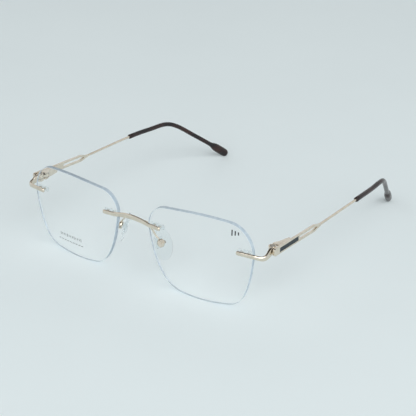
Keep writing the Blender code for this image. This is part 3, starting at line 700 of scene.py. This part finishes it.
def plug(node, side, mount):
    """A clear plate behind the lens with two sleeves that fill the lens's holes."""
    length, depth, height = PLUG_SIZE
    front = LENS_THICK + CONTACT_GAP
    plate = block((-length / 2, front, -height / 2), (length / 2, front + depth, height / 2), 0.00028, 4)
    steps = []
    for x in PIN_PLACES:
        steps.append(("UNION", rod((x, 0.0001, 0), (x, front + depth / 2, 0), SLEEVE_RADIUS, 24)))
        steps.append(("DIFFERENCE", rod((x, -THROUGH, 0), (x, THROUGH, 0), SLEEVE_BORE, 24)))
    piece(node, moved(combined(plate, *steps), mount), side)


def pin(x):
    return rod((x, -BAR_DEPTH, 0), (x, LENS_THICK + PIN_TAIL, 0), PIN_RADIUS, 24, None, 0.00008)


def bar_end(mount, start, inward):
    stations = []
    for reach, share in ((0.0, 0.30), (0.00006, 0.52), (0.0002, 0.78), (0.0004, 0.91), (0.0007, 0.98), (0.0012, 1.0)):
        place = mount @ Vector((start + inward * reach, BAR_Y, 0))
        stations.append((*place, BAR_DEPTH * share, BAR_HEIGHT * share, BAR_SQUARE))
    return stations


def bar_run(mount, places):
    return [(*(mount @ Vector((x, BAR_Y, 0))), BAR_DEPTH, BAR_HEIGHT, BAR_SQUARE) for x in places]


def bridge():
    mount = mount_frame(BRIDGE_MOUNT)
    half = bar_end(mount, BRIDGE_REACH, -1)
    half += smooth([*bar_run(mount, (0.0, -0.0030)), *ARCH], 7)
    mirrored = [(-s[0], *s[1:]) for s in reversed(half[:-1])]
    steps = []
    for sign in (1, -1):
        place = Matrix.Diagonal((sign, 1, 1, 1)) @ mount
        steps += [("UNION", moved(pin(x), place)) for x in PIN_PLACES]
    piece("bridge", combined(loft([*half, *mirrored], 36), *steps))


# ---------------------------------------------------------------- hinge


def endpiece(side):
    mount, hinge = mount_frame(ENDPIECE_MOUNT, ENDPIECE_ROLL), hinge_frame(side)
    stations = bar_end(mount, -ENDPIECE_REACH, 1)
    stations += smooth([*bar_run(mount, (0.0, 0.0030, 0.0052)), *ELBOW], 7)
    knuckle = rod((0, 0, -KNUCKLE_HALF), (0, 0, KNUCKLE_HALF), KNUCKLE_RADIUS, 64, None, 0.00022)
    slot = rod((0, 0, -SLOT_HALF), (0, 0, SLOT_HALF), SLOT_RADIUS, 64)
    seat = KNUCKLE_HALF - HEAD_THICK - FIT_GAP
    bore = rod((0, 0, -THROUGH), (0, 0, THROUGH), SCREW_BORE, 32)
    sink = rod((0, 0, seat), (0, 0, THROUGH), SCREW_HEAD + 0.00008, 48)
    mesh = combined(
        loft(stations, 36),
        ("UNION", moved(knuckle, hinge)),
        ("DIFFERENCE", moved(slot, hinge)),
        ("DIFFERENCE", moved(bore, hinge)),
        ("DIFFERENCE", moved(sink, hinge)),
        *[("UNION", moved(pin(x), mount)) for x in PIN_PLACES],
    )
    piece(f"endpiece_{side}", mesh, side)


def hinge_screw(side):
    top = KNUCKLE_HALF - 0.00003
    head = rod((0, 0, top - HEAD_THICK), (0, 0, top), SCREW_HEAD, 48, SCREW_HEAD * 0.95, 0.00009)
    shank = rod((0, 0, 0.0001 - KNUCKLE_HALF), (0, 0, top - HEAD_THICK / 2), SCREW_RADIUS, 32)
    half, depth = SCREW_SLOT
    cut = block((-0.002, -half, top - depth), (0.002, half, THROUGH))
    turn = Matrix.Rotation(radians(35), 4, "Z")
    mesh = combined(head, ("UNION", shank), ("DIFFERENCE", moved(cut, turn)))
    piece(f"hinge_screw_{side}", moved(mesh, hinge_frame(side)), side)


def hinge_slider(side):
    hinge, temple = hinge_frame(side), temple_frame()
    start, end = CARRIAGE
    inner, tapered, outer = HOUSING_INNER + 0.0001, -0.00075, 0.00145
    knuckle = rod((0, 0, -TONGUE_HALF), (0, 0, TONGUE_HALF), 0.00160, 64, None, 0.00006)
    neck = block((inner + FIT_GAP, 0.0005, -TONGUE_HALF), (outer - 0.0001, start + 0.0004, TONGUE_HALF))
    half = CARRIAGE_HALF
    plan = [(outer, start), (outer, end), (tapered, end), (inner, 0.0036), (inner, start)]
    corners = [(0, -half), (end, -half), (end, half), (0, half)]
    sides = upright([rounded(corners, [0, 0.0008, 0.0008, 0], 10)], -0.004, 0.004)
    carriage = eased(combined(flat([plan], -half, half), ("INTERSECT", sides)), 0.00006, 3, 20)
    mesh = combined(
        moved(knuckle, hinge),
        ("UNION", moved(neck, hinge)),
        ("UNION", moved(carriage, temple)),
        ("UNION", moved(rod((ROD_X, 0.0045, 0), (ROD_X, ROD_END, 0), ROD_RADIUS, 24), temple)),
        ("DIFFERENCE", moved(rod((0, 0, -THROUGH), (0, 0, THROUGH), SCREW_BORE, 32), hinge)),
    )
    piece(f"hinge_slider_{side}", mesh, side)


def spring_housing(side):
    front, back = HOUSING_HALF
    outer = PLATE_INNER - CONTACT_GAP
    plan = [(outer, HOUSING_START), (outer, HOUSING_END), (0.0005, HOUSING_END), (0.0001, 0.0096)]
    plan += [(-0.00035, 0.0060), (HOUSING_INNER, 0.0036), (HOUSING_INNER, HOUSING_START)]
    body = flat([rounded(plan, [0, 0, 0.0001, 0.002, 0.002, 0.002, 0.0005], 8)], -0.0020, 0.0020)
    side_view = [(0.001, -front), (0.0130, -back), (0.0130, back), (0.001, front)]
    mouth = [(0.0, -MOUTH_HALF), (MOUTH_END, -MOUTH_HALF), (MOUTH_END, MOUTH_HALF), (0.0, MOUTH_HALF)]
    shell = combined(
        body,
        ("INTERSECT", upright([side_view], -0.004, 0.004)),
        ("DIFFERENCE", upright([rounded(mouth, [0, 0.001, 0.001, 0], 10)], -0.004, 0.004)),
    )
    mesh = combined(
        eased(shell, 0.00012, 3, 50),
        ("DIFFERENCE", block((ROD_X - 0.00036, 0.0045, -0.00036), (0.004, 0.0060, 0.00036))),
        ("DIFFERENCE", block((0.0004, 0.0056, -0.0007), (0.004, 0.0098, 0.0007))),
    )
    piece(f"spring_housing_{side}", moved(mesh, temple_frame()), side)


# ---------------------------------------------------------------- temple


def inlay_outline(grow):
    start, end = INLAY_ENDS
    return [
        (start - grow, -0.00097 - grow),
        (end + grow, -0.00086 - grow),
        (end + grow, 0.00108 + grow),
        (start - grow, 0.00090 + grow),
    ]


def temple_path(steps):
    start = temple_frame() @ Vector((PLATE_CENTRE, PLATE_REAR - 0.0003, 0))
    return [Vector(p) for p in smooth([tuple(start), *WIRE_KNOTS], steps)]


def temple_plate(side):
    temple = temple_frame()
    upper = [(PLATE_REAR, 0.00056), (0.0340, 0.00058), (0.0300, 0.0016), (0.0085, 0.00158)]
    upper += [(0.0020, 0.0017), (PLATE_FRONT, 0.0017)]
    outline = [(y, -z) for y, z in reversed(upper)] + upper
    radii = [0.0009, 0, 0, 0.001, 0.0005, 0, 0, 0.0005, 0.001, 0, 0, 0.0009]
    half = 0.00072
    window = [(WINDOW_FRONT, half), (0.0292, half), (0.0325, 0.0), (0.0292, -half), (WINDOW_FRONT, -half)]
    holed = [rounded(outline, radii, 8), rounded(window, [0.0006, 0.0005, 0.0001, 0.0005, 0.0006], 8)]
    recess = upright([inlay_outline(FIT_GAP)], PLATE_INNER + PLATE_THICK - INLAY_DEPTH, 0.004)
    plate = combined(upright(holed, PLATE_INNER, PLATE_INNER + PLATE_THICK), ("DIFFERENCE", recess))
    plate = moved(eased(plate, 0.00011, 3, 50), temple)
    ahead = temple @ Vector((PLATE_CENTRE, PLATE_REAR - 0.0016, 0))
    core = wire([ahead, *temple_path(PATH_STEPS)[: 5 * PATH_STEPS + 3]], WIRE_RADIUS, 24)
    piece(f"temple_{side}", combined(plate, ("UNION", core)), side)


def temple_inlay(side):
    """Enamel strip with fine slanting ribs across its face."""
    floor = PLATE_INNER + PLATE_THICK - INLAY_DEPTH + FIT_GAP
    start, end = INLAY_ENDS
    columns, rows = 260, 10
    bm = bmesh.new()
    grid = []
    for i in range(columns + 1):
        share = i / columns
        y = start + (end - start) * share
        low, high = -0.00097 + 0.00011 * share, 0.00090 + 0.00018 * share
        line = []
        for k in range(rows + 1):
            z = low + (high - low) * k / rows
            rib = abs(((y + 0.7 * z) / 0.00052) % 1.0 - 0.5) * 2
            edge = min(1.0, 6 * min(k / rows, 1 - k / rows), 60 * min(share, 1 - share))
            line.append(bm.verts.new((floor + INLAY_THICK - 0.00005 * (1 - edge * (1 - rib * rib)), y, z)))
        grid.append(line)
    for a, b in zip(grid, grid[1:]):
        for k in range(rows):
            bm.faces.new((a[k], b[k], b[k + 1], a[k + 1]))
    rim = [e for e in bm.edges if e.is_boundary]
    skirt = bmesh.ops.extrude_edge_only(bm, edges=rim)["geom"]
    foot = [v for v in skirt if isinstance(v, bmesh.types.BMVert)]
    for vert in foot:
        vert.co.x = floor
    bmesh.ops.contextual_create(bm, geom=[e for e in bm.edges if e.is_boundary])
    bmesh.ops.recalc_face_normals(bm, faces=bm.faces)
    piece(f"temple_inlay_{side}", moved(mesh_of(bm), temple_frame()), side, None, 25)


def temple_tip(side):
    """Moulded tip with a hollow mouth round the wire and a shoulder before its paddle."""
    path = temple_path(PATH_STEPS)[PATH_STEPS:]
    lengths = [(b - a).length for a, b in zip(path, path[1:])]
    stations = []
    for i, place in enumerate(path):
        if sum(lengths[i:]) < PADDLE[0][0]:
            break
        stations.append((*place, *TIP_HALF, 0.08))
    first = Vector(stations[0][:3])
    along = (Vector(stations[1][:3]) - first).normalized()
    lip = [(*(first + along * r), TIP_HALF[0] * s, TIP_HALF[1] * s, 0.08) for r, s in ((-0.0001, 0.84), (0.0, 0.93), (0.00016, 1.0))]
    paddle = [(*place_from_end(path, d), w, h, 0.12) for d, w, h in PADDLE]
    body = loft([*lip, *stations[1:], *smooth(paddle, 4)], 40)
    bore = temple_path(PATH_STEPS)[PATH_STEPS - 1 : 5 * PATH_STEPS + 4]
    mesh = combined(body, ("DIFFERENCE", wire(bore, WIRE_RADIUS + 0.00009, 24)))
    piece(f"temple_tip_{side}", mesh, side, None, 50)


# ---------------------------------------------------------------- nose pads


def pad_arm(side):
    box = pad_box_place(side)
    knots = [*ARM_ROOT, *(tuple(box + Vector(end)) for end in ARM_END)]
    piece(f"pad_arm_{side}", wire(smooth(knots, 8), ARM_RADIUS, 24), side)


def pad_box(side):
    (x, z), (back, front) = BOX_HALF, BOX_DEPTH
    cavity_x, cavity_z = BOX_CAVITY
    shell = moved(rod((0, back, 0), (0, front, 0), z, 64, None, 0.0006), Matrix.Diagonal((x / z, 1, 1, 1)))
    dimple = rod((-0.0002, -THROUGH, 0.0004), (-0.0002, back + 0.0002, 0.0004), 0.0005, 32)
    cavity = block((-cavity_x, BOX_FLOOR, -cavity_z), (cavity_x, THROUGH, cavity_z), 0.0002, 3)
    bore = rod((-THROUGH, 0, 0), (THROUGH, 0, 0), PAD_BORE, 32)
    mesh = combined(shell, ("DIFFERENCE", cavity), ("DIFFERENCE", bore), ("DIFFERENCE", dimple))
    piece(f"pad_box_{side}", moved(mesh, pad_frame(side)), side, None, 50)


def pad_screw(side):
    head = BOX_HALF[0] + CONTACT_GAP
    shank = rod((-BOX_HALF[0] + FIT_GAP, 0, 0), (head + 0.0003, 0, 0), PAD_BORE - CONTACT_GAP, 24)
    cap = rod((head, 0, 0), (head + 0.00044, 0, 0), 0.00078, 40, 0.00068, 0.00008)
    slot = block((head + 0.00026, -0.0001, -0.002), (THROUGH, 0.0001, 0.002))
    mesh = combined(cap, ("UNION", shank), ("DIFFERENCE", moved(slot, Matrix.Rotation(radians(50), 4, "X"))))
    piece(f"pad_screw_{side}", moved(mesh, pad_frame(side)), side)


def nose_pad(side):
    """Soft oval cushion, flatter towards the frame, moulded round the core."""
    bm = bmesh.new()
    bmesh.ops.create_uvsphere(bm, u_segments=72, v_segments=40, radius=1.0)
    for vert in bm.verts:
        x, y, z = vert.co.xzy
        y = np.sign(y) * abs(y) ** (0.8 if y > 0 else 0.55)
        width = PAD_HALF[0] * (1 - 0.10 * z)
        vert.co = Vector((x * width, y * PAD_HALF[1], z * PAD_HALF[2])) + Vector(PAD_OFFSET)
    bmesh.ops.recalc_face_normals(bm, faces=bm.faces)
    piece(f"nose_pad_{side}", moved(mesh_of(bm), pad_frame(side)), side, None, 180)


# ---------------------------------------------------------------- generic print on the lenses


def printed(name, node, side, marks):
    """Thin raised ink marks on a lens's front. Each mark is (x, z, length, height) in the front's frame."""
    lens_place = lens_frame()
    bm = bmesh.new()
    for x, z, length, height in marks:
        local = lens_place.inverted() @ Vector((x, 0, 0))
        for sx, sz, first in ((-1, -1, True), (1, -1, False), (1, 1, False), (-1, 1, False)):
            if first:
                corners = []
            px, pz = local.x + sx * length / 2, z + sz * height / 2
            corners.append((px, pz))
        top = [bm.verts.new((px, lens_depth(px, pz) - 0.00003, pz)) for px, pz in corners]
        low = [bm.verts.new((px, lens_depth(px, pz) - 0.000005, pz)) for px, pz in corners]
        bm.faces.new(top)
        bm.faces.new(low[::-1])
        for k in range(4):
            bm.faces.new((top[k], low[k], low[(k + 1) % 4], top[(k + 1) % 4]))
    bmesh.ops.recalc_face_normals(bm, faces=bm.faces)
    piece(node, moved(mesh_of(bm), lens_place), side, [INK], 30, name)


def print_marks():
    """A ruled scale where a demonstration lens carries its size, and three plain bars on the other lens."""
    marks = [(0.0436 - 0.00108 * k, -0.0107, 0.0003, 0.0016 if k % 4 == 0 else 0.0011) for k in range(13)]
    marks += [(0.0448 - 0.0018 * k, -0.0137, 0.0012, 0.0003) for k in range(9)]
    printed("ruled_scale", "lens_right", "right", marks)
    bars = [(0.0502 + 0.0014 * k, 0.0160, 0.00055, 0.0026 - 0.0006 * k) for k in range(3)]
    printed("plain_bars", "lens_left", "left", bars)


# ---------------------------------------------------------------- stage, light and camera


def add_world():
    """A bright horizon that darkens overhead, as in a tent of white cloth under a dark ceiling."""
    world = bpy.data.worlds.new("tent")
    bpy.context.scene.world = world
    world.use_nodes = True
    tree = world.node_tree
    background = tree.nodes["Background"]
    place = node_of(tree, "TexCoord")
    split = node_of(tree, "SeparateXYZ")
    ramp = node_of(tree, "ValToRGB")
    tree.links.new(place.outputs["Generated"], split.inputs["Vector"])
    tree.links.new(split.outputs["Z"], ramp.inputs["Fac"])
    stops = (
        (0.0, (0.78, 0.82, 0.83)),
        (0.30, (0.74, 0.77, 0.78)),
        (0.60, (0.72, 0.74, 0.75)),
        (0.69, (0.72, 0.74, 0.75)),
        (0.73, (0.05, 0.045, 0.04)),
        (1.0, (0.04, 0.04, 0.04)),
    )
    ramp.color_ramp.elements[0].position = stops[0][0]
    ramp.color_ramp.elements[0].color = (*stops[0][1], 1)
    ramp.color_ramp.elements[1].position = stops[-1][0]
    ramp.color_ramp.elements[1].color = (*stops[-1][1], 1)
    for position, colour in stops[1:-1]:
        ramp.color_ramp.elements.new(position).color = (*colour, 1)
    tree.links.new(ramp.outputs["Color"], background.inputs["Color"])
    background.inputs["Strength"].default_value = 1.0


def add_light(name, place, target, size, power, colour=(1, 1, 1)):
    data = bpy.data.lights.new(name, "AREA")
    data.shape = "RECTANGLE"
    data.size, data.size_y = size
    data.energy = power
    data.color = colour
    made = bpy.data.objects.new(name, data)
    bpy.context.scene.collection.objects.link(made)
    made.location = place
    made.rotation_euler = (Vector(target) - Vector(place)).to_track_quat("-Z", "Y").to_euler()
    made.visible_transmission = False


def add_floor():
    bm = bmesh.new()
    bmesh.ops.create_grid(bm, x_segments=40, y_segments=40, size=4.0)
    mesh = mesh_of(bm)
    made = bpy.data.objects.new("floor", mesh)
    bpy.context.scene.collection.objects.link(made)
    material, tree, shader = new_material("floor_paper", {"Roughness": 0.6, "Specular IOR Level": 0.25})
    tone = ranged(tree, noise(tree, 9, 3), 0.3, 0.7, 0.0, 1.0)
    tree.links.new(mixed_colour(tree, tone, (0.785, 0.865, 0.88, 1), (0.80, 0.88, 0.895, 1)), shader.inputs["Base Color"])
    mesh.materials.append(material)
    made.location.z = -0.0001


def add_camera():
    data = bpy.data.cameras.new("camera")
    data.sensor_width = 36
    data.lens = CAMERA_LENS
    data.clip_start = 0.01
    made = bpy.data.objects.new("camera", data)
    bpy.context.scene.collection.objects.link(made)
    forward = Vector(CAMERA_FORWARD).normalized()
    turn = forward.to_track_quat("-Z", "Y").to_matrix().to_4x4() @ Matrix.Rotation(CAMERA_ROLL, 4, "Z")
    made.matrix_world = FRONT @ Matrix.Translation(CAMERA_PLACE) @ turn
    bpy.context.scene.camera = made


# ---------------------------------------------------------------- making it all

for node in frame["nodes"].values():
    slot_name = next(s["material_slot"] for s in frame["record"]["subparts"] if s["node"] == node["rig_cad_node"])
    node.data.materials.clear()
    node.data.materials.append(SLOT_MATERIALS[slot_name])

bridge()
for wearer_side in ("left", "right"):
    lens(wearer_side)
    plug(f"bridge_plug_{wearer_side}", wearer_side, mount_frame(BRIDGE_MOUNT))
    plug(f"endpiece_plug_{wearer_side}", wearer_side, mount_frame(ENDPIECE_MOUNT, ENDPIECE_ROLL))
    endpiece(wearer_side)
    hinge_screw(wearer_side)
    hinge_slider(wearer_side)
    spring_housing(wearer_side)
    temple_plate(wearer_side)
    temple_inlay(wearer_side)
    temple_tip(wearer_side)
    pad_arm(wearer_side)
    pad_box(wearer_side)
    pad_screw(wearer_side)
    nose_pad(wearer_side)
print_marks()

add_world()
add_floor()
add_light("key", (2.2, -1.6, 2.2), (0, 0, 0), (2.8, 2.8), 74)
add_light("fill", (1.0, -2.8, 1.6), (0, 0, 0), (2.0, 2.0), 38)
add_camera()
bpy.context.scene.view_settings.view_transform = "Standard"
